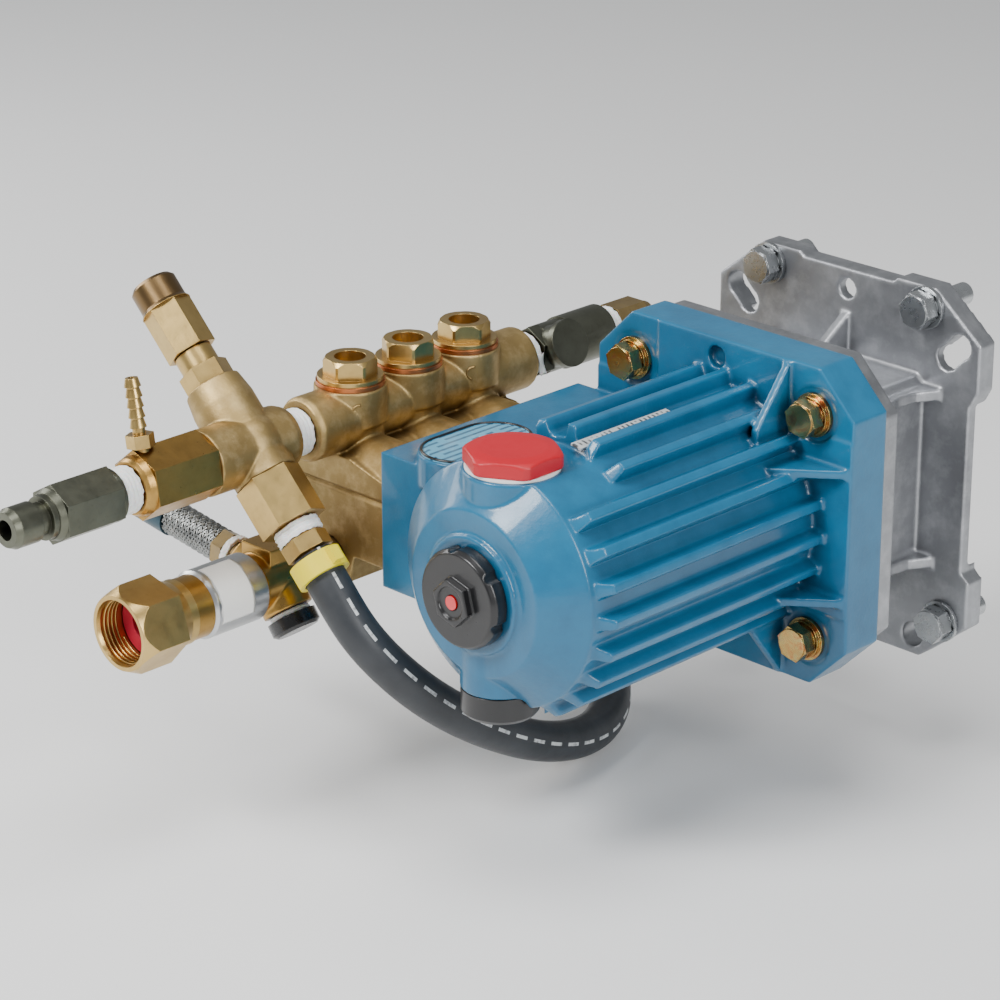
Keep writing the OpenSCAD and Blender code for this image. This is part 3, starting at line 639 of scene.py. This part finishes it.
# ---------------------------------------------------------------- pieces finer than the CAD's
def tape_wrap(base, direction, start, end, inner, outer, seed):
    """Thread tape: overlapping turns with ragged edges."""
    steps = max(8, int((end - start) / 0.28))
    along = [start + (end - start) * i / steps for i in range(steps + 1)]
    profile = [(a, outer) for a in along] + [(a, inner) for a in reversed(along)]
    mid, half = (start + end) / 2, (end - start) / 2

    def shape(r, a, t):
        off = Vector((math.cos(t), math.sin(t), 0)) * 2.0
        edge = abs(a - mid) / half
        aa = a - (a - mid) * 0.16 * edge * edge * (0.5 + noise.noise(off * 2.2 + Vector((seed, a * 0.1, 0))))
        if r < inner + 0.01:
            return r, aa
        turn = (a / 1.9 + t / (2 * math.pi) * (1 if seed % 2 else -1) + seed * 0.37) % 1.0
        lay = 0.62 + 0.26 * turn + 0.14 * noise.noise(Vector((off.x * 3, off.y * 3, a * 1.3 + seed)))
        lay -= 0.30 * max(0.0, edge - 0.8) * 5 * (0.5 + 0.5 * noise.noise(off * 4 + Vector((0, 0, seed))))
        return inner + (outer - inner) * min(1.0, max(0.15, lay)), aa

    return lathe("tape", base, direction, profile, 132, shape)


Y = Vector((0, 1, 0))
LINE, INLET = at((VALVE_X, 0, OUT_Z)), at((TEE[0], 0, TEE[2]))
tapes = [tape_wrap(LINE, Y, -215.9, -207.1, 8.62, 9.9, 1), tape_wrap(LINE, Y, -302.8, -294.7, 8.6, 9.7, 2),
         tape_wrap(LINE, Y, -82.2, -78.95, 8.62, 10.15, 3), tape_wrap(LINE, Y, -34.8, -28.2, 8.1, 9.4, 4),
         tape_wrap(at(UNLOADER), aim(UNLOADER_TILT), -42.3, -36.2, 8.1, 9.95, 5),
         tape_wrap(at(TEE), aim(RELIEF_TILT), 20.7, 23.9, 6.1, 8.35, 6),
         tape_wrap(at(TEE), aim(BYPASS_TILT), 15.2, 17.3, 7.1, 8.75, 7)]
# a loose end of tape hangs at the engine end of the line
flap = []
for i in range(15):
    for k in range(5):
        u, v = i / 14, k / 4
        flap.append(at((VALVE_X + 9.6 + 1.6 * u + 0.6 * math.sin(5 * u + 2 * v),
                        -80.9 + 3.4 * (v - 0.5) + 0.9 * u,
                        OUT_Z + 3 - 9 * u + 0.5 * math.sin(7 * v + 3 * u))))
flap_ob = new_object("tape_end", flap, grid_faces(15, 5, False))
thick = flap_ob.modifiers.new("thick", "SOLIDIFY")
thick.thickness = 0.25 * MM
bake_modifiers(flap_ob)
tape_ob = join(tapes + [flap_ob], "thread_tape_wraps")
tape_ob.data.shade_smooth()
attach(tape_ob, "thread_tape")

# thread ridges left bare beside the tape
ridges = []
for i in range(3):
    a = -83.7 + i * 0.75
    crest = [(a, 8.6), (a + 0.08, 9.0), (a + 0.3, 9.5), (a + 0.52, 9.0), (a + 0.6, 8.6)]
    ridges.append(lathe("ridge", LINE, Y, crest))
attach(join(ridges, "nipple_thread"), "pipe_nipples", replace=False)


def helix(base, direction, start, end, radius, pitch, wire_r, sides=5, per_turn=56):
    d, u, v = axis_frame(direction)
    turns = (end - start) / pitch
    n = int(turns * per_turn)
    pts = []
    for i in range(n + 1):
        t = 2 * math.pi * turns * i / n
        along = base + d * (start + (end - start) * i / n) * MM
        pts.append(along + (u * math.cos(t) + v * math.sin(t)) * radius * MM)
    return wire(pts, wire_r * MM, sides)


nut_thread = new_object("swivel_nut_thread", *helix(INLET, Y, -302.8, -294.2, 12.86, 1.9, 0.42))
attach(nut_thread, "swivel_nut", replace=False)

# braided cover of the relief line, woven over and under
BRAID_AT, BRAID_D = at(TEE), aim(RELIEF_TILT)
bd, bu, bv = axis_frame(BRAID_D)
verts, faces = [], []
STRANDS, BRAID_TURNS, BRAID_N = 14, 1.15, 64
for hand in (-1, 1):
    for strand in range(STRANDS):
        for lane in (-0.42, 0.42):
            pts = []
            for i in range(BRAID_N + 1):
                f = i / BRAID_N
                t = hand * 2 * math.pi * BRAID_TURNS * f + 2 * math.pi * strand / STRANDS
                weave = math.sin(f * BRAID_TURNS * 2 * STRANDS * math.pi + strand * math.pi) * hand
                rr = 6.75 + 0.26 * weave + (0.25 if f in (0, 1) else 0)
                tt = t + lane / 6.9
                along = BRAID_AT + bd * (30.3 + 29.5 * f) * MM
                pts.append(along + (bu * math.cos(tt) + bv * math.sin(tt)) * rr * MM)
            vs, fs = wire(pts, 0.36 * MM, 5)
            faces += [tuple(a + len(verts) for a in q) for q in fs]
            verts += vs
braid = new_object("relief_braid_wires", verts, faces)
core = lathe("core", BRAID_AT, BRAID_D, [(30.2, 3.0), (30.2, 6.35), (59.9, 6.35), (59.9, 3.0)], 48)
attach(join([braid, core], "relief_braid_cover"), "relief_braid")

# half-round casting marks raised on the outer valve bosses
marks = []
for boss_y in (-179.5, -115.5):
    turn = math.radians(-30)
    out = Vector((math.cos(turn), math.sin(turn), 0))
    across = Vector((-out.y, out.x, 0))
    pts = []
    for k in range(13):
        a = math.radians(75 + 15 * k)
        swing = 2.6 * math.cos(a) / 14.8
        side = math.cos(swing) * out + math.sin(swing) * across
        pts.append(at((VALVE_X, boss_y, 36.0)) + side * 14.75 * MM + Vector((0, 0, 2.6 * math.sin(a))) * MM)
    marks.append(new_object("mark", *wire(pts, 0.5 * MM, 8)))
attach(join(marks, "boss_marks"), "manifold", replace=False)

# black ring round the oval plate: painted shade, a dark strand standing in for the gap and shadow at the
# plate's edge
edge_shade_points = []
for s_end, a0 in ((1, 0.0), (-1, math.pi)):
    for k in range(25):
        t = a0 + math.pi * k / 24
        edge_shade_points.append(at((-49 + 14.9 * math.cos(t), -174 + 9.5 * s_end + 14.9 * math.sin(t), 33.85)))
edge_shade_ob = new_object("plate_rim", *wire(edge_shade_points, 0.62 * MM, 8, True))
attach(edge_shade_ob, "sight_glass", replace=False)

# worn white sticker on the strainer sleeve
patch, PN, PM = [], 40, 16
for i in range(PN):
    for k in range(PM):
        f, g = i / (PN - 1), k / (PM - 1)
        ragged = 0.8 * noise.noise(Vector((f * 7, 0.3 if k == 0 else 9.1, 0))) if k in (0, PM - 1) else 0
        t = math.radians(-20 + 112 * f)
        patch.append(INLET + at((14.07 * math.cos(t), -264.6 + 17.0 * g + ragged, 14.07 * math.sin(t))))
label = new_object("sleeve_sticker", patch, [tuple(reversed(q)) for q in grid_faces(PN, PM, False)])
thick = label.modifiers.new("thick", "SOLIDIFY")
thick.thickness, thick.offset = 0.08 * MM, 1.0
bake_modifiers(label)
attach(label, "filler_gasket", replace=False)


# ---------------------------------------------------------------- finish every piece
def dress():
    for o in list(bpy.context.scene.objects):
        if o.type != "MESH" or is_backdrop(o):
            continue
        slot = o.get("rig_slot") or SLOT_OF.get(o.get("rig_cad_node", ""))
        if slot is None:
            continue
        o.data.materials.clear()
        o.data.materials.append(MATS[slot].m)


dress()


# ---------------------------------------------------------------- studio
def area(name, place, to, size, watts):
    light = bpy.data.lights.new(name, "AREA")
    light.shape, light.size, light.size_y = "RECTANGLE", size[0], size[1]
    light.energy = watts
    ob = bpy.data.objects.new(name, light)
    bpy.context.scene.collection.objects.link(ob)
    ob.location = place
    ob.rotation_mode = "QUATERNION"
    ob.rotation_quaternion = (Vector(to) - Vector(place)).to_track_quat("-Z", "Y")
    return ob


AIM = (-0.05, -0.16, 0.0)
area("key", (-0.35, -1.35, 1.15), AIM, (0.55, 0.55), 26)
area("fill", (1.35, -0.45, 0.70), AIM, (0.45, 0.9), 15)
area("top", (0.15, -0.25, 1.6), AIM, (0.8, 0.8), 13)
area("side", (-1.35, -0.35, 0.55), AIM, (0.5, 0.8), 9)

world = bpy.data.worlds.new("studio")
bpy.context.scene.world = world
world.use_nodes = True
world.node_tree.nodes["Background"].inputs[0].default_value = (0.86, 0.88, 0.9, 1)
world.node_tree.nodes["Background"].inputs[1].default_value = 0.36

FLOOR_Z = cad_lo.z - 0.0006
floor = new_object("floor", [(-6, -6, FLOOR_Z), (6, -6, FLOOR_Z), (6, 6, FLOOR_Z), (-6, 6, FLOOR_Z)],
                   [(0, 1, 2, 3)], smooth=False)
floor_mat = Mat("floor_grey", (0.86, 0.86, 0.855), 0.0, 0.7)
floor_mat.tint(floor_mat.ramp(floor_mat.noise(3, 3), (0.4, 0.0), (0.8, 0.4)), (0.83, 0.83, 0.83))
floor.data.materials.append(floor_mat.m)
